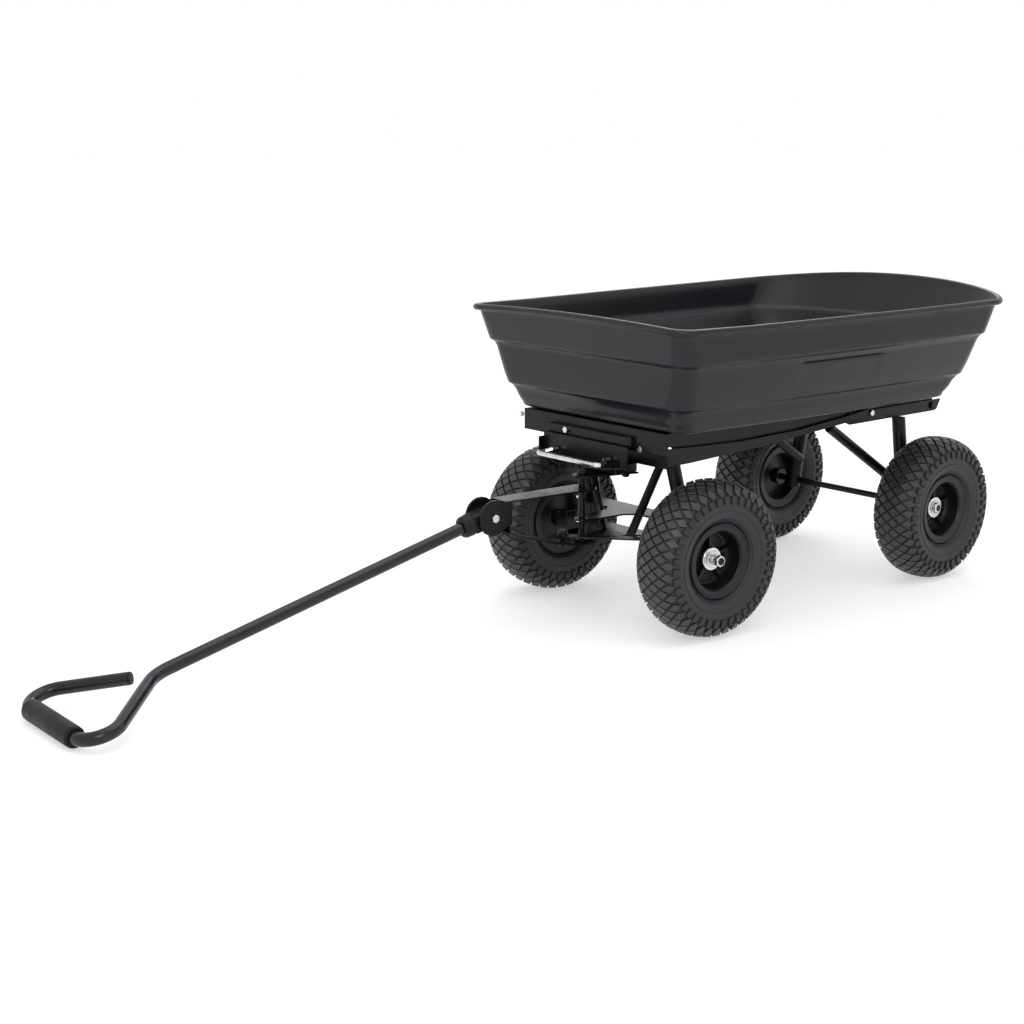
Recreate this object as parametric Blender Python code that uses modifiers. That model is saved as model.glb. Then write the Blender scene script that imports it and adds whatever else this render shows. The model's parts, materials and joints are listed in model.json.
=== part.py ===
"""Four-wheeled garden dump cart with a steered front end, a tipping tub and a fold-up pull handle.

Metres, +Z up. Everything is laid out from the point on the ground under the front axle line: +X
runs to the rear, -Y is the cart's left. The empty "cart" then carries it all to the middle of the
object's box, on the ground.
"""

import math

import bmesh
import bpy
from mathutils import Matrix, Vector

# Running gear
WHEELBASE = 0.5844
HALF_TRACK = 0.196
TYRE_RADIUS = 0.130
TYRE_HALF_WIDTH = 0.044
RIM_FLANGE_RADIUS = 0.062
BEAD_RADIUS = 0.0508
RIM_HALF_WIDTH = 0.031
AXLE_RADIUS = 0.006
HUB_BORE = 0.0066
WHEEL_STEPS = 24

# Steering
KNUCKLE_Y = 0.120
KINGPIN_X = -0.104
STEER_ARM = 0.040
STEER_AT_REST = -0.080
HANDLE_YAW = -0.0486
CLEVIS_REACH = 0.193
PIVOT_Z = 0.205

# Handle
HANDLE_SLOPE = math.radians(14.16)
HANDLE_TUBE_RADIUS = 0.010
GRIP_RADIUS = 0.016
GRIP_REACH = 0.7715
GRIP_HALF_LENGTH = 0.0735
LOOP_ANGLE = math.radians(43.6)
LOOP_CORNER_Y = 0.153
LOOP_END_X = 0.638

# Chassis
RAIL_FACE_Y = 0.110
RAIL_PLATE = 0.0025
SHEET = 0.003
CHASSIS_FRONT_X = -0.0155
LEG_RADIUS = 0.0125
BRACE_RADIUS = 0.008
HINGE_X = 0.692
HINGE_Z = 0.2955

# Tub: (height, front X, half-width at the front, half-width at the rear, front corner radius,
# X where the rear curve starts, rear X)
TUB_RIM = (0.514, -0.1424, 0.2615, 0.2894, 0.040, 0.618, 0.738)
TUB_LEDGE_HIGH = (0.4545, -0.1180, 0.2470, 0.2790, 0.040, 0.590, 0.6935)
TUB_LEDGE_LOW = (0.3805, -0.1005, 0.2176, 0.2450, 0.038, 0.575, 0.6720)
TUB_FLOOR = (0.340, -0.0800, 0.2004, 0.2293, 0.036, 0.545, 0.6350)
TUB_WALL = 0.0035
FRONT_CROWN = 0.008
REAR_CROWN = 0.0186

FIT = 0.0003
CART_X = 0.1625

POWDER_COAT = ("powder_coat", (0.012, 0.012, 0.013), 0.35, 0.0)
TUB_PLASTIC = ("tub_plastic", (0.035, 0.036, 0.039), 0.45, 0.0)
RIM_PLASTIC = ("rim_plastic", (0.010, 0.010, 0.011), 0.40, 0.0)
TYRE_RUBBER = ("tyre_rubber", (0.022, 0.022, 0.022), 0.75, 0.0)
GRIP_RUBBER = ("grip_rubber", (0.018, 0.018, 0.019), 0.70, 0.0)
ZINC = ("zinc", (0.62, 0.62, 0.63), 0.28, 1.0)

LEFT_AND_RIGHT = (("left", -1), ("right", 1))
AXIS_TURNS = {
    "X": Matrix.Rotation(math.pi / 2, 4, "Y"),
    "Y": Matrix.Rotation(-math.pi / 2, 4, "X"),
    "Z": Matrix.Identity(4),
}


# Scene, materials and objects

def clear_scene():
    for obj in list(bpy.data.objects):
        bpy.data.objects.remove(obj, do_unlink=True)


def collection(name):
    found = bpy.data.collections.new(name)
    bpy.context.scene.collection.children.link(found)
    return found


def material(slot):
    name, colour, roughness, metallic = slot
    found = bpy.data.materials.get(name)
    if found:
        return found
    made = bpy.data.materials.new(name)
    made.use_nodes = True
    shader = made.node_tree.nodes["Principled BSDF"]
    shader.inputs["Base Color"].default_value = (*colour, 1)
    shader.inputs["Roughness"].default_value = roughness
    shader.inputs["Metallic"].default_value = metallic
    return made


def empty(name, parent=None, at=(0, 0, 0), turn=None):
    made = bpy.data.objects.new(name, None)
    made.empty_display_size = 0.03
    PARTS.objects.link(made)
    made.parent = parent
    made.matrix_local = Matrix.Translation(at) @ (turn or Matrix.Identity(4))
    return made


def part(name, mesh, parent, slot, placed=None):
    """A sub-part: its mesh, in the frame of the empty that carries it."""
    made = bpy.data.objects.new(name, mesh)
    PARTS.objects.link(made)
    made.parent = parent
    made.matrix_local = placed or Matrix.Identity(4)
    if not mesh.materials:
        mesh.materials.append(material(slot))
    mesh.shade_smooth()
    mesh.set_sharp_from_angle(angle=math.radians(35))
    return made


def helper(name, mesh, parent, placed=None):
    """A cutter, or a piece that is welded to a sub-part."""
    made = bpy.data.objects.new(name, mesh)
    CUTTERS.objects.link(made)
    made.parent = parent
    made.matrix_local = placed or Matrix.Identity(4)
    made.hide_render = True
    made.display_type = "WIRE"
    return made


def boolean(target, other, operation):
    made = target.modifiers.new(other.name, "BOOLEAN")
    made.operation = operation
    made.solver = "EXACT"
    made.object = other


def weld(target, *meshes):
    for number, mesh in enumerate(meshes):
        boolean(target, helper(f"{target.name}_weld_{number}", mesh, target.parent), "UNION")


def drill(target, radius, at, axis="Z", depth=0.02, sides=16):
    """A round hole through the target, in its parent's frame."""
    mesh = cylinder(radius, depth, sides, Matrix.Translation(at) @ AXIS_TURNS[axis])
    name = f"{target.name}_hole_{len(target.modifiers)}"
    boolean(target, helper(name, mesh, target.parent), "DIFFERENCE")


# Meshes

def to_mesh(name, bm, placed=None):
    if placed:
        bmesh.ops.transform(bm, matrix=placed, verts=bm.verts)
    bmesh.ops.recalc_face_normals(bm, faces=bm.faces)
    mesh = bpy.data.meshes.new(name)
    bm.to_mesh(mesh)
    bm.free()
    return mesh


def box(low, high, bevel=0.0):
    """A box between two opposite corners."""
    low, high = Vector(low), Vector(high)
    bm = bmesh.new()
    bmesh.ops.create_cube(bm, size=1)
    bmesh.ops.scale(bm, vec=high - low, verts=bm.verts)
    bmesh.ops.translate(bm, vec=(low + high) / 2, verts=bm.verts)
    if bevel:
        bmesh.ops.bevel(bm, geom=bm.edges, offset=bevel, segments=1, affect="EDGES")
    return to_mesh("box", bm)


def cylinder(radius, depth, sides=16, placed=None):
    bm = bmesh.new()
    bmesh.ops.create_cone(
        bm,
        cap_ends=True,
        segments=sides,
        radius1=radius,
        radius2=radius,
        depth=depth,
    )
    return to_mesh("cylinder", bm, placed)


def rod(start, end, radius, sides=16):
    """A straight round bar between two points, cut square at its ends."""
    start, end = Vector(start), Vector(end)
    along = end - start
    turn = along.to_track_quat("Z", "Y").to_matrix().to_4x4()
    return cylinder(radius, along.length, sides, Matrix.Translation((start + end) / 2) @ turn)


def leaning_leg(foot, head, radius, sides=16):
    """A round bar between two points whose ends are cut level."""
    foot, head = Vector(foot), Vector(head)
    bm = bmesh.new()
    bmesh.ops.create_cone(
        bm, cap_ends=True, segments=sides, radius1=radius, radius2=radius, depth=1
    )
    for vert in bm.verts:
        centre = foot.lerp(head, vert.co.z + 0.5)
        vert.co = Vector((vert.co.x + centre.x, vert.co.y + centre.y, centre.z))
    return to_mesh("leg", bm)


def arc(centre, radius, start, end, steps):
    """Points of a circular arc, angles in radians."""
    for step in range(steps + 1):
        angle = start + (end - start) * step / steps
        yield (centre[0] + radius * math.cos(angle), centre[1] + radius * math.sin(angle))


def evaluated_mesh(obj):
    graph = bpy.context.evaluated_depsgraph_get()
    mesh = bpy.data.meshes.new_from_object(obj.evaluated_get(graph), depsgraph=graph)
    data = obj.data
    bpy.data.objects.remove(obj, do_unlink=True)
    if isinstance(data, bpy.types.Curve):
        bpy.data.curves.remove(data)
    return mesh


def weld_caps(mesh, placed=None):
    bm = bmesh.new()
    bm.from_mesh(mesh)
    bpy.data.meshes.remove(mesh)
    bmesh.ops.remove_doubles(bm, verts=bm.verts, dist=1e-5)
    return to_mesh("from_curve", bm, placed)


def sheet(outline, low, high, placed=None):
    """A flat outline in X and Y, given thickness from one height to another."""
    curve = bpy.data.curves.new("outline", "CURVE")
    curve.dimensions = "2D"
    curve.fill_mode = "BOTH"
    curve.extrude = (high - low) / 2
    spline = curve.splines.new("POLY")
    spline.points.add(len(outline) - 1)
    for point, (x, y) in zip(spline.points, outline):
        point.co = (x, y, 0, 1)
    spline.use_cyclic_u = True
    obj = bpy.data.objects.new("outline", curve)
    bpy.context.scene.collection.objects.link(obj)
    lift = Matrix.Translation((0, 0, (low + high) / 2))
    return weld_caps(evaluated_mesh(obj), (placed or Matrix.Identity(4)) @ lift)


# Turns an outline drawn in X and Z, and its thickness into Y.
UPRIGHT = Matrix(((1, 0, 0, 0), (0, 0, 1, 0), (0, 1, 0, 0), (0, 0, 0, 1)))


def upright_sheet(outline, near, far):
    return sheet(outline, near, far, UPRIGHT)


def bent_tube(points, radius, resolution=3, placed=None):
    curve = bpy.data.curves.new("tube", "CURVE")
    curve.dimensions = "3D"
    curve.bevel_depth = radius
    curve.bevel_resolution = resolution
    curve.use_fill_caps = True
    spline = curve.splines.new("POLY")
    spline.points.add(len(points) - 1)
    for point, place in zip(spline.points, points):
        point.co = (*place, 1)
    obj = bpy.data.objects.new("tube", curve)
    bpy.context.scene.collection.objects.link(obj)
    return weld_caps(evaluated_mesh(obj), placed)


def turned(profile, steps=WHEEL_STEPS, placed=None):
    """A closed profile of (radius, height) points, turned about Z. It runs down its outer side."""
    mesh = bpy.data.meshes.new("profile")
    corners = [(radius, 0, height) for radius, height in profile]
    count = len(corners)
    mesh.from_pydata(corners, [(i, (i + 1) % count) for i in range(count)], [])
    obj = bpy.data.objects.new("profile", mesh)
    bpy.context.scene.collection.objects.link(obj)
    screw = obj.modifiers.new("turn", "SCREW")
    screw.steps = screw.render_steps = steps
    screw.use_merge_vertices = True
    screw.merge_threshold = 0.0001
    made = evaluated_mesh(obj)
    bpy.data.meshes.remove(mesh)
    return weld_caps(made, placed)


def strap(stations, thickness):
    """A bent flat bar along X. A station is (X, height of its underside, half-width)."""
    bm = bmesh.new()
    rings = []
    for x, z, half in stations:
        corners = ((x, -half, z), (x, half, z), (x, half, z + thickness), (x, -half, z + thickness))
        rings.append([bm.verts.new(corner) for corner in corners])
    for near, far in zip(rings, rings[1:]):
        for i in range(4):
            j = (i + 1) % 4
            bm.faces.new((near[i], near[j], far[j], far[i]))
    bm.faces.new(rings[0])
    bm.faces.new(rings[-1])
    return to_mesh("strap", bm)


def bolt(shank_radius, head_radius, low, high, head=0.004, nut=0.005, sides=6, turn="Z", at=(0, 0, 0)):
    """A bolt along an axis: the shank, a hexagon head below `low` and, if it has one, a nut above `high`."""
    placed = Matrix.Translation(at) @ AXIS_TURNS[turn]
    start, end = low - head + 0.0005, high + max(nut - 0.0005, 0)
    pieces = [cylinder(shank_radius, end - start, 12, placed @ Matrix.Translation((0, 0, (start + end) / 2)))]
    pieces.append(cylinder(head_radius, head, sides, placed @ Matrix.Translation((0, 0, low - head / 2))))
    if nut:
        pieces.append(cylinder(head_radius, nut, sides, placed @ Matrix.Translation((0, 0, high + nut / 2))))
    return pieces


# Tub

def eased(value):
    value = max(0.0, min(1.0, value))
    return value * value * (3 - 2 * value)


def tub_half_outline(level, inset):
    """Half of the tub's outline at one level, from the middle of its front to that of its rear."""
    _, front, front_half, rear_half, corner, curve_start, rear = level
    front, rear = front + inset, rear - inset
    front_half, rear_half = front_half - inset, rear_half - inset
    corner = max(corner - inset, 0.01)

    def half_width(x):
        along = (x - front) / (curve_start - front)
        return front_half + (rear_half - front_half) * along * (2 - along)

    corner_y = half_width(front + corner) - corner
    points = [(front, corner_y * part_way / 3) for part_way in range(3)]
    points += list(arc((front + corner, corner_y), corner, math.pi, math.pi / 2, 4))
    for step in range(1, 6):
        x = front + corner + (curve_start - front - corner) * step / 6
        points.append((x, half_width(x)))
    for step in range(11):
        angle = math.pi / 2 * step / 10
        x = curve_start + (rear - curve_start) * math.sin(angle)
        points.append((x, rear_half * math.cos(angle)))
    return points


def crown(x, y):
    """How far the rim rises above its height at the sides."""
    _, front, _, half, _, _, rear = TUB_RIM
    along = (x - front) / (rear - front)
    rise = FRONT_CROWN * eased(1 - along / 0.2) + REAR_CROWN * eased((along - 0.6) / 0.4)
    return rise * max(0.0, 1 - (y / half) ** 2)


def tub_rings():
    """The tub's surface as (level, inset, height above the level, share of the crown)."""
    wall = TUB_WALL
    return (
        (TUB_RIM, 0.0000, -0.0045, 1),
        (TUB_RIM, 0.0012, -0.0095, 1),
        (TUB_RIM, 0.0100, -0.0100, 1),
        (TUB_RIM, 0.0130, -0.0125, 1),
        (TUB_LEDGE_HIGH, 0.0000, 0.0030, 0),
        (TUB_LEDGE_HIGH, 0.0015, 0.0000, 0),
        (TUB_LEDGE_HIGH, 0.0100, -0.0020, 0),
        (TUB_LEDGE_LOW, 0.0000, 0.0030, 0),
        (TUB_LEDGE_LOW, 0.0015, 0.0000, 0),
        (TUB_LEDGE_LOW, 0.0100, -0.0020, 0),
        (TUB_FLOOR, 0.0000, 0.0060, 0),
        (TUB_FLOOR, 0.0012, 0.0020, 0),
        (TUB_FLOOR, 0.0050, 0.0000, 0),
        (TUB_FLOOR, 0.0085, wall, 0),
        (TUB_FLOOR, 0.0045, wall + 0.0030, 0),
        (TUB_LEDGE_LOW, 0.0135, 0.0010, 0),
        (TUB_LEDGE_LOW, 0.0045, 0.0025, 0),
        (TUB_LEDGE_HIGH, 0.0135, 0.0010, 0),
        (TUB_LEDGE_HIGH, 0.0045, 0.0025, 0),
        (TUB_RIM, 0.0165, -0.0125, 1),
        (TUB_RIM, 0.0125, -0.0025, 1),
        (TUB_RIM, 0.0080, 0.0000, 1),
        (TUB_RIM, 0.0030, -0.0008, 1),
    )


def tub_mesh():
    bm = bmesh.new()
    rings = []
    rows = tub_rings()
    for level, inset, rise, share in rows:
        half = tub_half_outline(level, inset)
        outline = half + [(x, -y) for x, y in reversed(half[1:-1])]
        height = level[0] + rise
        ring = [bm.verts.new((x, y, height + share * crown(x, y))) for x, y in outline]
        rings.append(ring)
    floor = [number for number, row in enumerate(rows) if row[0] is TUB_FLOOR]
    underside, inside = floor[2], floor[3]
    count = len(rings[0])
    for number, ring in enumerate(rings):
        if number == underside:
            continue
        above = rings[(number + 1) % len(rings)]
        for i in range(count):
            j = (i + 1) % count
            bm.faces.new((ring[i], ring[j], above[j], above[i]))
    bm.faces.new(rings[underside])
    bm.faces.new(rings[inside])
    return to_mesh("tub", bm)


TUB_BOLTS = (("front", -0.0600), ("rear", 0.480))
# How deep each bolt head sits in a round seat, so that nothing stands over the flat floor around it
TUB_BOLT_SEAT = 0.001


def build_tub(body):
    tub = part("tub", tub_mesh(), body, TUB_PLASTIC)
    floor = TUB_FLOOR[0] + TUB_WALL
    head = [(0.0060, 0.0028), (0.0100, 0.0010), (0.0100, 0), (0.0040, 0), (0.0040, -0.011)]
    seat = floor - TUB_BOLT_SEAT
    for name, x in TUB_BOLTS:
        drill(tub, 0.0046, (x, 0, floor), depth=0.02, sides=12)
        drill(tub, 0.0108, (x, 0, floor), depth=2 * TUB_BOLT_SEAT, sides=24)
        part(f"tub_bolt_{name}", lathe(head), body, ZINC, Matrix.Translation((x, 0, seat + FIT)))


# The frame that the tub sits on, which tips with it

CARRIER_LOW, CARRIER_TOP = 0.308, 0.3390
CARRIER_WEB = (0.0995, 0.1025)
CARRIER_FLANGE_Y = 0.0785
CROSS_PLATE_X = -0.0815
CROSS_PLATE_LOW = 0.302


def tub_rail_outline():
    lug = 0.0105
    points = [(-0.078, 0.2985), (0.000, 0.2985), (0.012, 0.2885), (0.300, 0.2885), (0.440, 0.3000)]
    points += [(0.470, CARRIER_LOW), (HINGE_X - 0.030, CARRIER_LOW)]
    points += list(arc((HINGE_X, HINGE_Z), lug, math.radians(200), math.radians(390), 8))
    points += [(HINGE_X + 0.004, 0.312), (0.625, CARRIER_TOP), (-0.045, CARRIER_TOP)]
    points += [(-0.045, 0.3354), (-0.078, 0.3354)]
    return points


def build_carrier(body):
    for name, side in LEFT_AND_RIGHT:
        near, far = sorted(side * y for y in CARRIER_WEB)
        rail = part(f"tub_rail_{name}", upright_sheet(tub_rail_outline(), near, far), body, POWDER_COAT)
        inner, outer = sorted((side * CARRIER_FLANGE_Y, side * (CARRIER_WEB[0] + 0.001)))
        weld(rail, box((-0.045, inner, CARRIER_TOP - SHEET), (0.612, outer, CARRIER_TOP)))
        drill(rail, 0.0044, (HINGE_X, side * 0.101, HINGE_Z), "Y")
    cross = part(
        "tub_cross_plate",
        box((CROSS_PLATE_X, -0.174, CROSS_PLATE_LOW), (CROSS_PLATE_X + SHEET, 0.174, 0.3385), 0.0006),
        body,
        POWDER_COAT,
    )
    weld(cross, box((CROSS_PLATE_X + 0.001, -0.170, 0.3357), (-0.0455, 0.170, 0.3385)))
    (_, front), (_, rear) = TUB_BOLTS
    drill(cross, 0.0046, (front, 0, CARRIER_TOP), sides=12)
    strip = box((rear - 0.016, -0.0782, CARRIER_TOP - SHEET), (rear + 0.016, 0.0782, CARRIER_TOP))
    strip = part("tub_cross_strip", strip, body, POWDER_COAT)
    drill(strip, 0.0046, (rear, 0, CARRIER_TOP), sides=12)


# Latch under the front of the tub, with its release bail

LATCH_FRONT_X = -0.1345
LATCH_BACK_X = -0.0985
LATCH_CORNER_X = -0.1124
LATCH_HALF = 0.1010
LATCH_Z = 0.2745
LATCH_TOP = 0.3095
LATCH_BOLT_Z = 0.3178
BAIL_RADIUS = 0.0046
BAIL_PIVOT = (-0.1065, 0.2850)
BAIL_FRONT_X = -0.1395
BAIL_HALF = 0.0735


def build_latch(body):
    plate = 0.0022
    corners = ((LATCH_FRONT_X, 0.072), (LATCH_CORNER_X, LATCH_HALF), (LATCH_BACK_X, LATCH_HALF))
    tray = [(x, -y) for x, y in corners] + list(reversed(corners))
    housing = part("latch_housing", sheet(tray, LATCH_Z, LATCH_Z + plate), body, POWDER_COAT)
    weld(
        housing,
        box((LATCH_BACK_X - plate, -LATCH_HALF, LATCH_Z + 0.001), (LATCH_BACK_X, LATCH_HALF, LATCH_TOP)),
        box((LATCH_BACK_X - 0.001, -0.098, LATCH_TOP - plate), (CROSS_PLATE_X - 0.0007, 0.098, LATCH_TOP)),
    )
    for side in (-1, 1):
        inner, outer = sorted((side * (LATCH_HALF - plate), side * LATCH_HALF))
        wall = box((LATCH_CORNER_X, inner, LATCH_Z + 0.001), (LATCH_BACK_X - 0.001, outer, 0.3020))
        name = "left" if side < 0 else "right"
        boolean(housing, helper(f"latch_housing_end_{name}", wall, body), "UNION")
    lip = [(-0.0925, -0.0935), (-0.0925, 0.100), (-0.0820, 0.100), (-0.0820, -0.098), (-0.0880, -0.098)]
    catch = part("latch_plate", sheet(lip, LATCH_TOP + 0.0005, 0.3240), body, POWDER_COAT)
    drill(catch, 0.0034, (-0.087, 0.052, LATCH_BOLT_Z), "X")
    build_bolt("latch_bolt", body, 0.003, 0.0055, -0.0928, -0.0830, (0, 0.052, LATCH_BOLT_Z), "X", 0.0045, 0)


def build_bolt(name, body, shank, head_radius, low, high, at, axis, head=0.004, nut=0.005, material=ZINC):
    first, *others = bolt(shank, head_radius, low, high, head, nut, turn=axis, at=at)
    made = part(name, first, body, material)
    weld(made, *others)
    return made


def build_bail(body):
    """The bail's own frame has its origin on the pivot."""
    front = BAIL_FRONT_X - BAIL_PIVOT[0]
    low = 0.2815 - BAIL_PIVOT[1]
    half = []
    for x, y in arc((front + 0.009, BAIL_HALF - 0.009), 0.009, math.pi, math.pi * 0.62, 3):
        half.append((x, y, low))
    half += [(front + 0.016, BAIL_HALF - 0.0020, low), (-0.008, 0.064, 0), (0.003, 0.064, 0)]
    path = [(x, -y, z) for x, y, z in reversed(half)] + half
    part("release_bail", bent_tube(path, BAIL_RADIUS, 2), body, ZINC)


# Chassis

def rail_edge(points, x):
    for (x0, z0), (x1, z1) in zip(points, points[1:]):
        if x <= x1:
            return z0 + (z1 - z0) * (x - x0) / (x1 - x0)
    return points[-1][1]


RAIL_TOP = ((-0.0155, 0.2975), (0.060, 0.2935), (0.160, 0.2900), (0.310, 0.2925), (0.450, 0.3030))
RAIL_BOTTOM = ((-0.0155, 0.2675), (0.037, 0.2680), (0.209, 0.2745), (0.366, 0.2855), (0.440, 0.2910))
SPLICE = (0.507, 0.3015)
REAR_RAIL_Y = (0.1040, 0.1072)
REAR_RAIL_Z = (0.2850, 0.3060)


def build_rails(body):
    end = list(arc(SPLICE, 0.009, math.radians(75), math.radians(-105), 6))
    outline = [*RAIL_TOP, *end, *reversed(RAIL_BOTTOM)]
    end_x = 0.375
    flange = [(-0.0120, 0.2675), *[(x, z) for x, z in RAIL_BOTTOM if 0 < x < end_x]]
    flange += [(end_x, rail_edge(RAIL_BOTTOM, end_x))]
    low, high = REAR_RAIL_Z
    rear = [(0.442, low + 0.004), (0.452, low), (0.700, low), (0.706, low + 0.002), (0.718, high)]
    rear += [(0.452, high), (0.442, high - 0.004)]
    for name, side in LEFT_AND_RIGHT:
        face, back = side * RAIL_FACE_Y, side * (RAIL_FACE_Y - RAIL_PLATE)
        front = part(
            f"front_rail_{name}", upright_sheet(outline, min(face, back), max(face, back)), body, POWDER_COAT
        )
        ledge = [*flange, *[(x, z + 0.0025) for x, z in reversed(flange)]]
        inner, outer = sorted((side * 0.088, side * (RAIL_FACE_Y - 0.001)))
        weld(front, upright_sheet(ledge, inner, outer))
        drill(front, 0.0036, (SPLICE[0], side * 0.109, SPLICE[1]), "Y", sides=12)
        near, far = sorted(side * y for y in REAR_RAIL_Y)
        behind = part(f"rear_rail_{name}", upright_sheet(rear, near, far), body, POWDER_COAT)
        inner, outer = sorted((side * 0.085, side * (REAR_RAIL_Y[0] + 0.001)))
        weld(behind, box((0.470, inner, low), (0.662, outer, low + SHEET)))
        drill(behind, 0.0036, (SPLICE[0], side * 0.1055, SPLICE[1]), "Y", sides=12)
        drill(behind, 0.0044, (HINGE_X, side * 0.1055, HINGE_Z), "Y")
        low_end, high_end = sorted((side * 0.1038, side * 0.1102))
        head, nut = (0.004, 0.003) if side < 0 else (0.003, 0.004)
        at = (SPLICE[0], 0, SPLICE[1])
        build_bolt(f"splice_bolt_{name}", body, 0.0032, 0.0056, low_end, high_end, at, "Y", head, nut)


def build_cross_members(body):
    low, back = 0.2635, 0.0200
    front = box((CHASSIS_FRONT_X, -0.1072, low), (CHASSIS_FRONT_X + SHEET, 0.1072, 0.2840))
    front = part("front_cross_member", front, body, POWDER_COAT)
    weld(
        front,
        box((CHASSIS_FRONT_X + 0.001, -0.0755, low), (back, 0.0755, low + RAIL_PLATE)),
        box((back - RAIL_PLATE, -0.0755, low + 0.001), (back, 0.0755, 0.2975)),
    )
    middle = box((0.210, -0.0877, 0.2820), (0.278, 0.0877, 0.2845))
    middle = part("middle_cross_member", middle, body, POWDER_COAT)
    weld(
        middle,
        box((0.210, -0.0877, 0.2680), (0.2125, 0.0877, 0.2830)),
        box((0.2755, -0.0877, 0.2680), (0.278, 0.0877, 0.2830)),
    )
    rear = box((0.600, -0.1037, 0.2890), (0.626, 0.1037, 0.3045))
    part("rear_cross_member", rear, body, POWDER_COAT)
    pin = cylinder(0.004, 0.2180, 12, Matrix.Translation((HINGE_X, 0, HINGE_Z)) @ AXIS_TURNS["Y"])
    pin = part("hinge_pin", pin, body, POWDER_COAT)
    heads = [
        cylinder(0.0068, 0.0036, 12, Matrix.Translation((HINGE_X, side * 0.1094, HINGE_Z)) @ AXIS_TURNS["Y"])
        for side in (-1, 1)
    ]
    weld(pin, *heads)


# Front axle beam, its legs and the steering head

BEAM_LOW = (0.1385, 0.1415)
BEAM_HIGH = (0.1735, 0.1765)
TOP_PLATE = (0.2475, 0.2505)
BEAM_END = 0.0135
FRONT_STUDS = ((-0.031, -0.028), (-0.031, 0.028))


def beam_outline(cross_back, tongue_root, tongue_tip, cross_front):
    """A T-shaped plate: a cross bar between the knuckle pins and a tongue to the kingpin."""
    half = list(arc((KINGPIN_X, 0), BEAM_END, math.pi, math.pi * 0.55, 4))
    half += [(KINGPIN_X + 0.02, tongue_tip), (cross_front - 0.018, tongue_root)]
    half += [(cross_front, tongue_root + 0.014)]
    half += [(cross_front, KNUCKLE_Y - 0.012)]
    half += list(arc((0, KNUCKLE_Y), BEAM_END, math.pi * 0.95, math.pi * 0.05, 6))
    half += [(cross_back, KNUCKLE_Y - 0.006), (cross_back, 0.0)]
    return half[:-1] + [(x, -y) for x, y in reversed(half[:-1])][:-1]


def build_beam(body):
    lower = sheet(beam_outline(0.016, 0.030, 0.018, -0.012), *BEAM_LOW)
    lower = part("axle_beam_lower", lower, body, POWDER_COAT)
    upper = sheet(beam_outline(0.034, 0.0220, 0.018, -0.0105), *BEAM_HIGH)
    upper = part("axle_beam_upper", upper, body, POWDER_COAT)
    for plate, (low, high) in ((lower, BEAM_LOW), (upper, BEAM_HIGH)):
        drill(plate, 0.0054, (KINGPIN_X, 0, low))
        for side in (-1, 1):
            drill(plate, 0.0049, (0, side * KNUCKLE_Y, low), sides=12)
    for name, side in LEFT_AND_RIGHT:
        foot, head = (0.022, side * 0.113, BEAM_HIGH[1] + FIT), (0.010, side * 0.097, 0.2670)
        leg = leaning_leg(foot, head, LEG_RADIUS)
        part(f"front_leg_{name}", leg, body, POWDER_COAT)
        foot, head = (-0.024, side * 0.0345, BEAM_LOW[1] + FIT), (-0.0095, side * 0.0855, 0.2630)
        brace = leaning_leg(foot, head, BRACE_RADIUS, 12)
        part(f"front_brace_{name}", brace, body, POWDER_COAT)


def build_steering_head(body):
    tip = [(KINGPIN_X + x, y) for x, y in arc((0, 0), 0.017, math.pi * 1.42, math.pi * 0.58, 6)]
    outline = [*tip, (-0.0172, 0.045), (-0.0172, -0.045)]
    plate = part("steering_top_plate", sheet(outline, *TOP_PLATE), body, POWDER_COAT)
    bracket = box((-0.066, -0.040, TOP_PLATE[1] + FIT), (CHASSIS_FRONT_X - FIT, 0.040, 0.2660), 0.0012)
    bracket = part("steering_head_bracket", bracket, body, POWDER_COAT)
    drill(plate, 0.0054, (KINGPIN_X, 0, TOP_PLATE[0]))
    for x, y in FRONT_STUDS:
        drill(plate, 0.0043, (x, y, TOP_PLATE[0]), sides=12)
        weld(
            bracket,
            cylinder(0.0039, 0.030, 12, Matrix.Translation((x, y, 0.2560))),
            cylinder(0.0068, 0.0050, 6, Matrix.Translation((x, y, TOP_PLATE[0] - FIT - 0.0025))),
            cylinder(0.0068, 0.0040, 6, Matrix.Translation((x, y, 0.2675))),
        )
    low, high = YOKE_LOW - FIT, TOP_PLATE[1] + FIT
    pin = [
        (0.009, high + 0.0065), (0.009, high), (0.005, high),
        (0.005, TOP_PLATE[0] - FIT), (0.0062, TOP_PLATE[0] - FIT), (0.0062, YOKE_HIGH[1] + FIT),
        (0.005, YOKE_HIGH[1] + FIT), (0.005, YOKE_HIGH[0] - FIT), (0.0062, YOKE_HIGH[0] - FIT),
        (0.0062, BEAM_HIGH[1] + FIT), (0.005, BEAM_HIGH[1] + FIT), (0.005, low),
        (0.009, low), (0.009, low - 0.005),
    ]
    part("kingpin", lathe(pin), body, POWDER_COAT, Matrix.Translation((KINGPIN_X, 0, 0)))
    low, high = BEAM_LOW[0] - FIT, BEAM_HIGH[1] + FIT
    pin = [
        (0.0075, high + 0.005), (0.0075, high), (0.0044, high), (0.0044, low),
        (0.0075, low), (0.0075, low - 0.004),
    ]
    for name, side in LEFT_AND_RIGHT:
        part(f"knuckle_pin_{name}", lathe(pin), body, ZINC, Matrix.Translation((0, side * KNUCKLE_Y, 0)))


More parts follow.
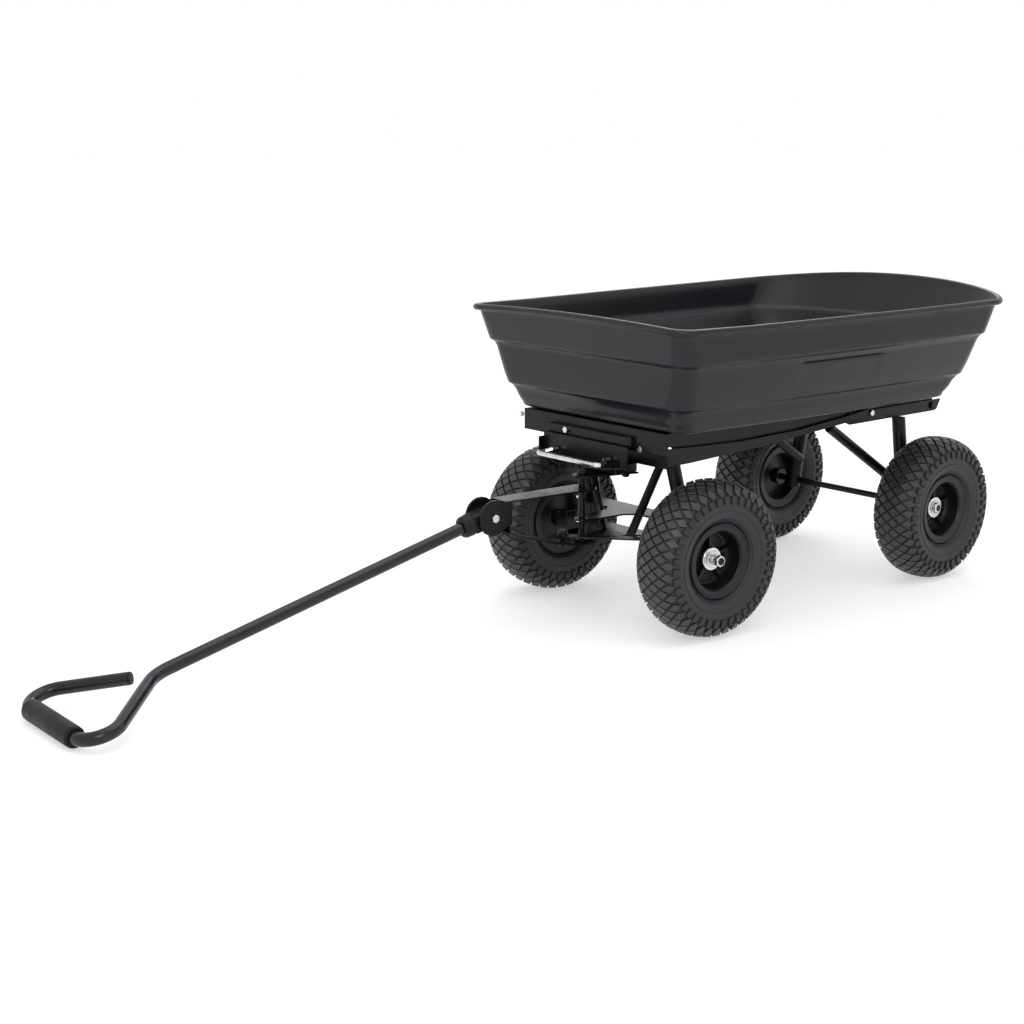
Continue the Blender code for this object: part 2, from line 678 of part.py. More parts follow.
def lathe(profile, sides=12, placed=None):
    """A solid of rings (radius, height) from top to bottom, closed by flat ends."""
    bm = bmesh.new()
    rings = []
    for radius, z in profile:
        angles = (2 * math.pi * i / sides for i in range(sides))
        rings.append([bm.verts.new((radius * math.cos(a), radius * math.sin(a), z)) for a in angles])
    for above, below in zip(rings, rings[1:]):
        for i in range(sides):
            j = (i + 1) % sides
            bm.faces.new((above[i], below[i], below[j], above[j]))
    bm.faces.new(rings[0])
    bm.faces.new(rings[-1])
    return to_mesh("lathe", bm, placed)


# Rear axle

def build_rear_axle(body):
    for name, side in LEFT_AND_RIGHT:
        leg = leaning_leg((WHEELBASE, side * 0.1335, 0.1170), (0.5860, side * 0.1120, 0.2847), LEG_RADIUS)
        leg = part(f"rear_leg_{name}", leg, body, POWDER_COAT)
        drill(leg, AXLE_RADIUS + 0.0004, (WHEELBASE, side * 0.1335, TYRE_RADIUS), "Y", 0.05)
        brace = rod((0.4050, side * 0.0980, 0.2845), (0.5700, side * 0.1060, 0.1755), 0.009, 12)
        part(f"rear_brace_{name}", brace, body, POWDER_COAT)
    placed = Matrix.Translation((WHEELBASE, 0, TYRE_RADIUS)) @ AXIS_TURNS["Y"]
    part("rear_axle", cylinder(AXLE_RADIUS, 2 * 0.2120, 16, placed), body, POWDER_COAT)
    for name, side in LEFT_AND_RIGHT:
        hub = (WHEELBASE, side * HALF_TRACK, TYRE_RADIUS)
        build_axle_nut(f"rear_axle_nut_{name}", body, hub, side, 0.0065)


def build_axle_nut(name, body, hub, side, start):
    """A washer and a nut, bored for the axle. +Z of the profile is outboard, from the middle of the wheel."""
    bore = AXLE_RADIUS + 0.0003
    profile = [
        (0.0095, start + 0.0085), (0.0095, start + 0.0022), (0.019, start + 0.0022), (0.019, start),
        (bore, start), (bore, start + 0.0085),
    ]
    turn = AXIS_TURNS["Y"] if side > 0 else Matrix.Rotation(math.pi / 2, 4, "X")
    nut = turned(profile, 16, Matrix.Translation(hub) @ turn)
    return part(name, nut, body, ZINC)


# Drawbar yoke and tie rods. Their frames have X along the drawbar and the origin on the kingpin

YOKE_HIGH = (0.2265, 0.2295)
YOKE_LOW = 0.1348
LEFT_ROD, RIGHT_ROD = (0.1497, 0.1527), (0.1530, 0.1560)
EAR_RADIUS = 0.029
EAR_INNER, EAR_OUTER = 0.0160, 0.0200


def build_yoke(body):
    rear = list(arc((0, 0), 0.024, -math.pi / 2, math.pi / 2, 6))
    front = -CLEVIS_REACH + 0.022
    outline = [(front, -0.019), *rear, (front, 0.019)]
    yoke = part("drawbar_yoke", sheet(outline, *YOKE_HIGH), body, POWDER_COAT)
    lower = strap(
        (
            (-0.179, 0.1800, 0.0190),
            (-0.131, 0.1635, 0.0205),
            (-0.075, 0.1475, 0.0235),
            (-0.0185, YOKE_LOW, 0.0240),
            (0.0140, YOKE_LOW, 0.0200),
        ),
        SHEET,
    )
    turn = Matrix.Rotation(HANDLE_YAW - STEER_AT_REST, 4, "Z")
    clevis = Matrix.Translation((-CLEVIS_REACH, 0, PIVOT_Z)) @ turn
    ear = list(arc((0, 0), EAR_RADIUS, math.radians(50), math.radians(318), 16))
    ear += [(0.0360, -0.0140), (0.0360, 0.0245)]
    ears = []
    for side in (-1, 1):
        near, far = sorted((side * EAR_INNER, side * EAR_OUTER))
        ears.append(sheet(ear, near, far, clevis @ UPRIGHT))
    base = box((0.0325, -0.0165, -0.0300), (0.0358, 0.0165, 0.0240))
    base.transform(clevis)
    weld(yoke, lower, *ears, base)
    drill(yoke, 0.0054, (0, 0, 0.190), depth=0.20)
    drill(yoke, 0.0045, (-STEER_ARM, 0, 0.144), sides=12)
    hole = cylinder(0.0046, 0.060, 12, clevis @ AXIS_TURNS["Y"])
    boolean(yoke, helper("clevis_bore", hole, yoke.parent), "DIFFERENCE")
    return clevis


def build_drawbar_bolts(body, clevis):
    first, *others = bolt(0.0042, 0.0070, -EAR_OUTER - FIT, EAR_OUTER + FIT, 0.0045, 0.006, turn="Y")
    for mesh in (first, *others):
        mesh.transform(clevis)
    weld(part("clevis_bolt", first, body, ZINC), *others)
    low, high = 0.1375, RIGHT_ROD[1] + FIT
    at = (-STEER_ARM, 0, 0)
    build_bolt("tie_rod_bolt", body, 0.0041, 0.0068, low, high, at, "Z", 0.004, 0.005, POWDER_COAT)


def tie_rod(length, width=0.008):
    """A flat bar with round ends and an eye at each. Its frame's origin is on the eye at the drawbar."""
    outline = list(arc((0, 0), width + 0.001, math.pi * 0.5, math.pi * 1.5, 6))
    outline += list(arc((length, 0), width + 0.001, -math.pi * 0.5, math.pi * 0.5, 6))
    return outline


def build_tie_rods(drawbar):
    for (name, side), (low, high) in zip(LEFT_AND_RIGHT, (LEFT_ROD, RIGHT_ROD)):
        span = Vector((-KINGPIN_X, side * KNUCKLE_Y))
        heading = math.atan2(span.y, span.x) - STEER_AT_REST
        joint = empty(f"tie_rod_{name}_axis", drawbar, (-STEER_ARM, 0, 0), Matrix.Rotation(heading, 4, "Z"))
        bar = part(f"tie_rod_{name}", sheet(tie_rod(span.length), low, high), joint, POWDER_COAT)
        drill(bar, 0.0046, (0, 0, low), sides=12)
        drill(bar, 0.0046, (span.length, 0, low), sides=12)


# Steering knuckles. The frame's origin is on the knuckle pin, X along the steering arm

def build_knuckle(name, side, body):
    low, high = BEAM_LOW[1] + FIT, BEAM_HIGH[0] - FIT
    barrel = cylinder(0.0115, high - low, 16, Matrix.Translation((0, 0, (low + high) / 2)))
    knuckle = part(f"steering_knuckle_{name}", barrel, body, POWDER_COAT)
    arm_low = LEFT_ROD[1] + FIT if side < 0 else RIGHT_ROD[1] + FIT
    arm = list(arc((-STEER_ARM, 0), 0.008, math.pi * 0.5, math.pi * 1.5, 6)) + [(0, -0.009), (0, 0.009)]
    rod_low = LEFT_ROD[0] if side < 0 else RIGHT_ROD[0]
    middle = Matrix.Translation((-STEER_ARM, 0, (arm_low + rod_low) / 2))
    stud = cylinder(0.0042, arm_low - rod_low + 0.003, 12, middle)
    head = cylinder(0.0066, 0.003, 12, Matrix.Translation((-STEER_ARM, 0, rod_low - FIT - 0.0015)))
    inner, outer = sorted((side * 0.0180, side * 0.0230))
    plate = box((-0.014, inner, 0.1170), (0.014, outer, high), 0.001)
    web_in, web_out = sorted((side * 0.005, side * 0.0200))
    web = box((-0.007, web_in, low + 0.003), (0.007, web_out, high - 0.001))
    stub = rod((0, side * 0.020, TYRE_RADIUS), (0, side * 0.1105, TYRE_RADIUS), AXLE_RADIUS)
    weld(knuckle, sheet(arm, arm_low, arm_low + SHEET), stud, head, plate, web, stub)
    drill(knuckle, 0.0048, (0, 0, (low + high) / 2), depth=0.06, sides=12)
    hub = (0, side * (HALF_TRACK - KNUCKLE_Y), TYRE_RADIUS)
    build_axle_nut(f"front_axle_nut_{name}", body, hub, side, 0.0115)
    return hub


# Wheels. A profile's height runs along the axle, outboard up

def tyre_profile():
    """A tyre section: its outer skin from one bead over the tread to the other, then the inside."""
    half, crown_radius = TYRE_HALF_WIDTH, TYRE_RADIUS
    bead, bead_half = BEAD_RADIUS + 0.0008, 0.0258
    middle = crown_radius - 0.036
    outer = []
    for degrees in (10, 32, 52, 70):
        angle = math.radians(degrees)
        power = 2 / 2.6
        across = half * math.cos(angle) ** power
        out = middle + (crown_radius - middle) * math.sin(angle) ** power
        outer.append((out, across))
    upper = [(bead, bead_half), (RIM_FLANGE_RADIUS + 0.001, bead_half), (0.0780, 0.0408), *outer]
    skin = upper + [(crown_radius, 0.0)] + [(r, -z) for r, z in reversed(upper)]
    inside = [(bead, -0.0170), (0.0860, -0.0330), (0.1180, -0.0240)]
    return skin + inside + [(r, -z) for r, z in reversed(inside)]


def rim_profile():
    """A rim section: barrel with two flanges, a disc set in from the outer side and a long hub."""
    flange, barrel, edge = RIM_FLANGE_RADIUS, BEAD_RADIUS, RIM_HALF_WIDTH
    inner = barrel - 0.0035
    return [
        (flange, edge), (flange, 0.0272), (barrel, 0.0262), (barrel, -0.0262), (flange, -0.0272),
        (flange, -edge), (inner, -edge + 0.003), (inner, -0.0070), (0.0175, -0.0110), (0.0150, -0.0300),
        (HUB_BORE, -0.0300), (HUB_BORE, 0.0060), (0.0175, 0.0060), (0.0200, -0.0040),
        (inner, -0.0010), (inner, edge - 0.003),
    ]


def build_wheel(name, side, body):
    turn = AXIS_TURNS["Y"] if side > 0 else Matrix.Rotation(math.pi / 2, 4, "X")
    part(f"tyre_{name}", TYRE_MESH, body, TYRE_RUBBER, turn)
    part(f"rim_{name}", RIM_MESH, body, RIM_PLASTIC, turn)


# Handle. The frame's origin is on the clevis bolt, X runs down the tube and Y along the bolt

def handle_path():
    """Centreline: down the tube, out to the cart's left, back along the grip and in again on the right."""
    reach = GRIP_REACH
    bend = reach - LOOP_CORNER_Y / math.tan(LOOP_ANGLE)
    radius = 0.034
    bend_radius = 0.060
    set_back = bend_radius * math.tan(LOOP_ANGLE / 2)
    path = [(0.0530, 0.0), (bend - set_back, 0.0)]
    centre = (bend - set_back, -bend_radius)
    path += list(arc(centre, bend_radius, math.pi / 2, math.pi / 2 - LOOP_ANGLE, 4))[1:]
    turn = math.pi / 2 + LOOP_ANGLE
    corner = list(arc((reach - radius, -LOOP_CORNER_Y + radius * math.tan(turn / 2)), radius, 0, -turn, 8))
    path += list(reversed(corner))
    far = [(x, -y) for x, y in corner]
    end_y = (LOOP_END_X - bend) * math.tan(LOOP_ANGLE)
    path += far + [(LOOP_END_X, end_y)]
    return [(x, -y) for x, y in path]


def build_handle(body):
    path = [(x, y, 0) for x, y in handle_path()]
    part("handle_tube", bent_tube(path, HANDLE_TUBE_RADIUS, 4), body, POWDER_COAT)
    radius, half = GRIP_RADIUS, GRIP_HALF_LENGTH
    bore = HANDLE_TUBE_RADIUS + 0.0004
    profile = [
        (radius - 0.002, half), (radius, half - 0.002), (radius, -half + 0.002), (radius - 0.002, -half),
        (bore, -half), (bore, half),
    ]
    grip = turned(profile, 16, Matrix.Translation((GRIP_REACH, 0, 0)) @ AXIS_TURNS["Y"])
    part("handle_grip", grip, body, GRIP_RUBBER)
    last, before = Vector(path[-1]), Vector(path[-2])
    outward = (last - before).normalized()
    plug = rod(last + outward * FIT, last + outward * 0.0030, HANDLE_TUBE_RADIUS - 0.0006, 16)
    part("handle_end_plug", plug, body, GRIP_RUBBER)
    lug = list(arc((0, 0), 0.0140, math.pi / 2, 3 * math.pi / 2, 8)) + [(0.034, -0.0140), (0.034, 0.0140)]
    socket = part("handle_socket", upright_sheet(lug, -0.0150, 0.0150), body, GRIP_RUBBER)
    collar = [(0.0150, 0.0525), (0.0175, 0.0490), (0.0185, 0.0350), (0.0165, 0.0310)]
    collar = lathe(collar, 16, AXIS_TURNS["X"])
    weld(socket, collar)
    drill(socket, 0.0046, (0, 0, 0), "Y", 0.06, 12)


# Assembly

clear_scene()
PARTS = collection("dump_cart")
CUTTERS = collection("cutters")
TYRE_MESH = turned(tyre_profile())
RIM_MESH = turned(rim_profile(), 16)


def main():
    cart = empty("cart", None, (CART_X, 0, 0))
    build_rails(cart)
    build_cross_members(cart)
    build_beam(cart)
    build_steering_head(cart)
    build_rear_axle(cart)
    for name, side in LEFT_AND_RIGHT:
        axis = empty(f"wheel_rear_{name}_axis", cart, (WHEELBASE, side * HALF_TRACK, TYRE_RADIUS))
        build_wheel(f"rear_{name}", side, axis)

    tipping = empty("tub_hinge_axis", cart, (HINGE_X, 0, HINGE_Z))
    tub_frame = empty("tub_frame", tipping, (-HINGE_X, 0, -HINGE_Z))
    build_tub(tub_frame)
    build_carrier(tub_frame)
    build_latch(tub_frame)
    build_bail(empty("bail_axis", tub_frame, (BAIL_PIVOT[0], 0, BAIL_PIVOT[1])))

    steering = Matrix.Rotation(STEER_AT_REST, 4, "Z")
    drawbar = empty("drawbar_axis", cart, (KINGPIN_X, 0, 0), steering)
    clevis = build_yoke(drawbar)
    build_drawbar_bolts(drawbar, clevis)
    build_tie_rods(drawbar)
    for name, side in LEFT_AND_RIGHT:
        knuckle = empty(f"knuckle_{name}_axis", cart, (0, side * KNUCKLE_Y, 0), steering)
        hub = build_knuckle(name, side, knuckle)
        build_wheel(f"front_{name}", side, empty(f"wheel_front_{name}_axis", knuckle, hub))

    downward = Matrix.Rotation(math.pi, 4, "Z") @ Matrix.Rotation(HANDLE_SLOPE, 4, "Y")
    build_handle(empty("handle_axis", drawbar, (0, 0, 0), clevis @ downward))


main()
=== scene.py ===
"""The looks of a four-wheeled garden dump cart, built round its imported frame.

Metres, +Z up, +X to the rear of the cart and -Y its left. Places that are given from the front axle
line have FRONT_X added to them.
"""

import json
import math

import bmesh
import bpy
from mathutils import Matrix, Vector


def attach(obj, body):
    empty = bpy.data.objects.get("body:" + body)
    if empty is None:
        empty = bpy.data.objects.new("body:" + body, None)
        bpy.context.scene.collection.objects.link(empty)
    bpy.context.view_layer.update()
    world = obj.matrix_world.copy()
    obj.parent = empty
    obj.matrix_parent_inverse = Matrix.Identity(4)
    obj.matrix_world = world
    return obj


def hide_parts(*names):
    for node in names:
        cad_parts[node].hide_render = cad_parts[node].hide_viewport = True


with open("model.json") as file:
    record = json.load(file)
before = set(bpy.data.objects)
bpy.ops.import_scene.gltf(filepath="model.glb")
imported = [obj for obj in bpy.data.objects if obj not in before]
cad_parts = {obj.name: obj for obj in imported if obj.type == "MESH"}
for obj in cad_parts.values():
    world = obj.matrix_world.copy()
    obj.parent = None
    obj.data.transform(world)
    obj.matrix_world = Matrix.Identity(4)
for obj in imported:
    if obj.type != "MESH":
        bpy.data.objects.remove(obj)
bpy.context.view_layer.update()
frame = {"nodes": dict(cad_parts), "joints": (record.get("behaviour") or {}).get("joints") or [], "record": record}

JOINTS = {joint["name"]: joint for joint in frame["joints"]}
FRONT_X = JOINTS["knuckle_left_steer"]["pos_m"][0]
LEFT_AND_RIGHT = (("left", -1), ("right", 1))

# Tub: (height, front X, half-width at the front, half-width at the rear, front corner radius,
# X where the rear curve starts, rear X)
TUB_RIM = (0.514, -0.1424, 0.2615, 0.2894, 0.040, 0.618, 0.738)
TUB_LEDGE_HIGH = (0.4545, -0.1180, 0.2470, 0.2790, 0.040, 0.590, 0.6935)
TUB_LEDGE_LOW = (0.3805, -0.1005, 0.2176, 0.2450, 0.038, 0.575, 0.6720)
TUB_FLOOR = (0.340, -0.0800, 0.2004, 0.2293, 0.036, 0.545, 0.6350)
TUB_WALL = 0.0035
FRONT_CROWN = 0.008
REAR_CROWN = 0.0186
PANEL_X = (0.150, 0.340)
PANEL_Z = (0.398, 0.4405)
PANEL_DEPTH = 0.0008
GROOVE_DEPTH = 0.0042
RECESS_Y = (-0.175, -0.030)
RECESS_Z = (0.350, 0.369)
RECESS_DEPTH = 0.0030
FRONT_STEPS = 14
CORNER_STEPS = 12
SIDE_STEPS = 60
REAR_STEPS = 32

# Wheels
CARCASS_RADIUS = 0.1260
CARCASS_HALF = 0.0412
SHOULDER_RADIUS = 0.094
SECTION_POWER = 2 / 2.6
BEAD_RADIUS = 0.0508
FLANGE_RADIUS = 0.062
TREAD_PITCHES = 40
TREAD_ROW = 0.0125
TREAD_ROWS = 3
BLOCK_HEIGHT = 0.0040
WHEEL_STEPS = 96
RIM_RIBS = 5

# Handle, in its own frame: origin on the clevis bolt, X down the tube
HANDLE_SLOPE = math.radians(14.16)
HANDLE_YAW = -0.0486
HANDLE_RADIUS = 0.010
GRIP_RADIUS = 0.016
GRIP_REACH = 0.7715
GRIP_HALF_LENGTH = 0.0735
LOOP_ANGLE = math.radians(43.6)
LOOP_CORNER_Y = 0.153
LOOP_END_X = 0.638
LOOP_CORNER_RADIUS = 0.034
BEND_RADIUS = 0.060
TUBE_START = 0.0530
TUBE_SIDES = 28

AXLE_RADIUS = 0.006
# Where the bearing washer and the nut start along each axle, out from the middle of the wheel
AXLE_END_PLACES = {"front": (0.0090, 0.0262), "rear": (0.0065, 0.0092)}

# Details on the frame under the tub
CROSS_PLATE_X = -0.0815
SKIRT_SIZE = (0.230, 0.0018, 0.0160)
SKIRT_MIDDLE = (0.550, 0.0994, 0.3040)


# Materials

class Nodes:
    """Short names for adding nodes to a material's tree."""

    def __init__(self, name, colour, roughness, metallic=0.0, specular=0.5):
        self.material = bpy.data.materials.new(name)
        self.material.use_nodes = True
        self.tree = self.material.node_tree
        self.shader = self.tree.nodes["Principled BSDF"]
        self.shader.inputs["Base Color"].default_value = (*colour, 1)
        self.shader.inputs["Roughness"].default_value = roughness
        self.shader.inputs["Metallic"].default_value = metallic
        self.shader.inputs["Specular IOR Level"].default_value = specular
        self.place = self.add("ShaderNodeTexCoord").outputs["Object"]

    def add(self, kind, **settings):
        node = self.tree.nodes.new(kind)
        for name, value in settings.items():
            setattr(node, name, value)
        return node

    def link(self, source, target):
        self.tree.links.new(source, target)

    def noise(self, scale, detail=3.0, rough=0.55, place=None):
        node = self.add("ShaderNodeTexNoise")
        node.inputs["Scale"].default_value = scale
        node.inputs["Detail"].default_value = detail
        node.inputs["Roughness"].default_value = rough
        self.link(place or self.place, node.inputs["Vector"])
        return node.outputs["Fac"]

    def stretched(self, scale):
        node = self.add("ShaderNodeMapping")
        node.inputs["Scale"].default_value = scale
        self.link(self.place, node.inputs["Vector"])
        return node.outputs["Vector"]

    def spread(self, value, low, high, start=0.3, end=0.7):
        """The value's middle range, from start to end, spread from low to high."""
        node = self.add("ShaderNodeMapRange")
        node.inputs["From Min"].default_value = start
        node.inputs["From Max"].default_value = end
        node.inputs["To Min"].default_value = low
        node.inputs["To Max"].default_value = high
        self.link(value, node.inputs["Value"])
        return node.outputs["Result"]

    def colours(self, value, *stops):
        node = self.add("ShaderNodeValToRGB")
        ramp = node.color_ramp
        while len(ramp.elements) < len(stops):
            ramp.elements.new(0.5)
        for element, (position, colour) in zip(ramp.elements, stops):
            element.position = position
            element.color = (*colour, 1)
        self.link(value, node.inputs["Fac"])
        return node.outputs["Color"]

    def bump(self, value, strength, distance, before=None):
        node = self.add("ShaderNodeBump")
        node.inputs["Strength"].default_value = strength
        node.inputs["Distance"].default_value = distance
        self.link(value, node.inputs["Height"])
        if before:
            self.link(before, node.inputs["Normal"])
        return node.outputs["Normal"]

    def shade(self, colour=None, roughness=None, normal=None):
        for source, socket in ((colour, "Base Color"), (roughness, "Roughness"), (normal, "Normal")):
            if source:
                self.link(source, self.shader.inputs[socket])
        return self.material


def tub_plastic():
    """Moulded polyethylene: an even charcoal with soft sheen and a very fine grain."""
    nodes = Nodes("moulded_charcoal_plastic", (0.0095, 0.0094, 0.0128), 0.34, specular=0.28)
    clouds = nodes.noise(7.0, 4.0)
    colour = nodes.colours(clouds, (0.25, (0.0085, 0.0084, 0.0116)), (0.75, (0.0108, 0.0107, 0.0142)))
    streaks = nodes.noise(18.0, 3.0, place=nodes.stretched((1, 1, 0.12)))
    roughness = nodes.spread(streaks, 0.29, 0.37)
    grain = nodes.bump(nodes.noise(900.0, 2.0), 0.10, 0.0004)
    ripple = nodes.bump(nodes.noise(14.0, 2.0), 0.10, 0.004, grain)
    return nodes.shade(colour, roughness, ripple)


def powder_coat():
    """Black powder coat: glossy, with orange peel and a little dust."""
    nodes = Nodes("black_powder_coat", (0.0045, 0.0045, 0.0052), 0.28, specular=0.20)
    dust = nodes.noise(22.0, 5.0, 0.65)
    colour = nodes.colours(dust, (0.35, (0.0032, 0.0032, 0.0046)), (0.80, (0.0062, 0.0062, 0.0080)))
    roughness = nodes.spread(dust, 0.22, 0.36)
    peel = nodes.bump(nodes.noise(420.0, 2.0), 0.04, 0.0004)
    return nodes.shade(colour, roughness, peel)


def handle_coat():
    """The same coat on drawn tube, smoother and shinier, with faint rubbing along its length."""
    nodes = Nodes("handle_powder_coat", (0.0060, 0.0060, 0.0066), 0.20, specular=0.36)
    rubbing = nodes.noise(60.0, 4.0)
    colour = nodes.colours(rubbing, (0.35, (0.0050, 0.0052, 0.0080)), (0.80, (0.0090, 0.0092, 0.0125)))
    roughness = nodes.spread(rubbing, 0.15, 0.27)
    peel = nodes.bump(nodes.noise(350.0, 2.0), 0.03, 0.0003)
    return nodes.shade(colour, roughness, peel)


def sidewall_rubber():
    """Tyre sidewall: matte black rubber with fine moulded grain and a faint bloom."""
    nodes = Nodes("tyre_sidewall", (0.0150, 0.0150, 0.0175), 0.48, specular=0.42)
    bloom = nodes.noise(16.0, 5.0, 0.6)
    colour = nodes.colours(bloom, (0.30, (0.0105, 0.0105, 0.0145)), (0.75, (0.0180, 0.0180, 0.0230)))
    roughness = nodes.spread(bloom, 0.40, 0.58)
    grain = nodes.bump(nodes.noise(700.0, 3.0), 0.22, 0.0006)
    return nodes.shade(colour, roughness, grain)


def tread_rubber():
    """The tops of the tread blocks, scuffed paler and browner than the sidewall."""
    nodes = Nodes("tyre_tread_blocks", (0.0190, 0.0188, 0.0190), 0.40, specular=0.46)
    scuffs = nodes.noise(90.0, 5.0, 0.65)
    colour = nodes.colours(scuffs, (0.30, (0.0130, 0.0130, 0.0155)), (0.72, (0.0380, 0.0375, 0.0385)))
    roughness = nodes.spread(scuffs, 0.28, 0.55)
    grain = nodes.bump(nodes.noise(1100.0, 2.0), 0.25, 0.0006)
    return nodes.shade(colour, roughness, grain)


def rim_plastic():
    """Deep black moulded plastic with a satin sheen."""
    nodes = Nodes("rim_black_plastic", (0.0040, 0.0040, 0.0045), 0.36, specular=0.32)
    clouds = nodes.noise(30.0, 4.0)
    colour = nodes.colours(clouds, (0.30, (0.0032, 0.0032, 0.0037)), (0.75, (0.0062, 0.0062, 0.0068)))
    roughness = nodes.spread(clouds, 0.32, 0.46)
    grain = nodes.bump(nodes.noise(800.0, 2.0), 0.12, 0.0005)
    return nodes.shade(colour, roughness, grain)


def grip_rubber():
    """Black rubber of the grip, plug and socket, with a fine pebbled surface."""
    nodes = Nodes("grip_black_rubber", (0.0065, 0.0065, 0.0075), 0.52, specular=0.26)
    wear = nodes.noise(45.0, 4.0)
    colour = nodes.colours(wear, (0.30, (0.0030, 0.0030, 0.0040)), (0.75, (0.0058, 0.0058, 0.0070)))
    roughness = nodes.spread(wear, 0.46, 0.64)
    pebbles = nodes.add("ShaderNodeTexVoronoi")
    pebbles.inputs["Scale"].default_value = 950.0
    nodes.link(nodes.place, pebbles.inputs["Vector"])
    normal = nodes.bump(pebbles.outputs["Distance"], 0.20, 0.0004)
    return nodes.shade(colour, roughness, normal)


def bright_zinc():
    """Bright zinc plate, a little cloudy, with fine turning marks."""
    nodes = Nodes("bright_zinc", (0.66, 0.66, 0.67), 0.26, 1.0)
    clouds = nodes.noise(120.0, 4.0, 0.6)
    colour = nodes.colours(clouds, (0.30, (0.52, 0.52, 0.53)), (0.75, (0.78, 0.78, 0.78)))
    roughness = nodes.spread(clouds, 0.18, 0.36)
    marks = nodes.bump(nodes.noise(900.0, 2.0), 0.03, 0.0002)
    return nodes.shade(colour, roughness, marks)


def pale_floor():
    """A white floor that is lit from within as well, so that shadows on it stay pale."""
    nodes = Nodes("pale_floor", (0.56, 0.56, 0.56), 0.75, specular=0.1)
    nodes.shader.inputs["Emission Color"].default_value = (1, 1, 1, 1)
    nodes.shader.inputs["Emission Strength"].default_value = 0.48
    return nodes.material


# Meshes

def add_piece(name, bm, body, slot, *materials, angle=35):
    """A finished piece that moves with a body and takes the materials given to it; its material slot is not used.
    """
    mesh = bpy.data.meshes.new(name)
    bm.to_mesh(mesh)
    bm.free()
    return add_mesh(name, mesh, body, slot, *materials, angle=angle)


def add_mesh(name, mesh, body, slot, *materials, angle=35):
    if not mesh.materials:
        for material in materials:
            mesh.materials.append(material)
        mesh.shade_smooth()
        mesh.set_sharp_from_angle(angle=math.radians(angle))
    made = bpy.data.objects.new(name, mesh)
    bpy.context.scene.collection.objects.link(made)
    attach(made, body)
    return made


def join_rings(bm, rings, closed=False):
    """Faces between rings of vertices, and from the last ring back to the first if closed."""
    pairs = list(zip(rings, rings[1:]))
    if closed:
        pairs.append((rings[-1], rings[0]))
    count = len(rings[0])
    for ring, above in pairs:
        for i in range(count):
            j = (i + 1) % count
            bm.faces.new((ring[i], ring[j], above[j], above[i]))


def turn(bm, profile, steps=WHEEL_STEPS, closed=True, hexagon=()):
    """A profile of (radius, height) turned about Z. Points numbered in hexagon have six flats."""
    rings = []
    for number, (radius, height) in enumerate(profile):
        ring = []
        for step in range(steps):
            angle = 2 * math.pi * step / steps
            if number in hexagon:
                flat = (angle + math.pi / 6) % (math.pi / 3) - math.pi / 6
                out = radius * math.cos(math.pi / 6) / math.cos(flat)
            else:
                out = radius
            ring.append(bm.verts.new((out * math.cos(angle), out * math.sin(angle), height)))
        rings.append(ring)
    join_rings(bm, rings, closed)
    if not closed:
        bm.faces.new(rings[0])
        bm.faces.new(rings[-1])
    bmesh.ops.recalc_face_normals(bm, faces=bm.faces)
    return rings


def block(bm, place, levels, material_index=0):
    """A small raised block. Each level is a list of surface places and a height."""
    rings = []
    for corners, height in levels:
        rings.append([bm.verts.new(place(*corner, height)) for corner in corners])
    made = []
    count = len(rings[0])
    for ring, above in zip(rings, rings[1:]):
        for i in range(count):
            j = (i + 1) % count
            made.append(bm.faces.new((ring[i], ring[j], above[j], above[i])))
    made.append(bm.faces.new(rings[-1]))
    bottom = bm.faces.new(list(reversed(rings[0])))
    for face in made:
        face.material_index = material_index
    bmesh.ops.recalc_face_normals(bm, faces=[*made, bottom])


def eased(value):
    value = max(0.0, min(1.0, value))
    return value * value * (3 - 2 * value)


def arc(centre, radius, start, end, steps):
    for step in range(steps + 1):
        angle = start + (end - start) * step / steps
        yield (centre[0] + radius * math.cos(angle), centre[1] + radius * math.sin(angle))


def between(value, low, high, blend):
    """1 inside a range, easing to 0 over the blend outside it."""
    return eased((value - low) / blend + 1) * eased((high - value) / blend + 1)


# Tub

def half_outline(level, inset):
    """Half of the tub's outline at one level, from the middle of its front to that of its rear."""
    _, front, front_half, rear_half, corner, curve_start, rear = level
    front, rear = front + inset, rear - inset
    front_half, rear_half = front_half - inset, rear_half - inset
    corner = max(corner - inset, 0.01)

    def half_width(x):
        along = (x - front) / (curve_start - front)
        return front_half + (rear_half - front_half) * along * (2 - along)

    corner_y = half_width(front + corner) - corner
    points = [(front, corner_y * step / FRONT_STEPS) for step in range(FRONT_STEPS)]
    points += list(arc((front + corner, corner_y), corner, math.pi, math.pi / 2, CORNER_STEPS))
    for step in range(1, SIDE_STEPS):
        x = front + corner + (curve_start - front - corner) * step / SIDE_STEPS
        points.append((x, half_width(x)))
    for step in range(REAR_STEPS + 1):
        angle = math.pi / 2 * step / REAR_STEPS
        x = curve_start + (rear - curve_start) * math.sin(angle)
        points.append((x, rear_half * math.cos(angle)))
    return points


def crown(x, y):
    """How far the rim rises above its height at the sides."""
    _, front, _, half, _, _, rear = TUB_RIM
    along = (x - front) / (rear - front)
    rise = FRONT_CROWN * eased(1 - along / 0.2) + REAR_CROWN * eased((along - 0.6) / 0.4)
    return rise * max(0.0, 1 - (y / half) ** 2)


def wall(low, high, share, inset):
    """A row on the straight wall between two levels."""
    return (tuple(a + (b - a) * share for a, b in zip(low, high)), inset, 0.0, 0)


def step_outside(level):
    """The outside of a moulded step: down its face, round its edge and under it to the wall below."""
    rows = (
        (0.0098, -0.0058), (0.0082, -0.0026), (0.0026, -0.0003), (0.0006, 0.0016), (0.0000, 0.0046),
    )
    return [(level, inset, rise, 0) for inset, rise in rows]


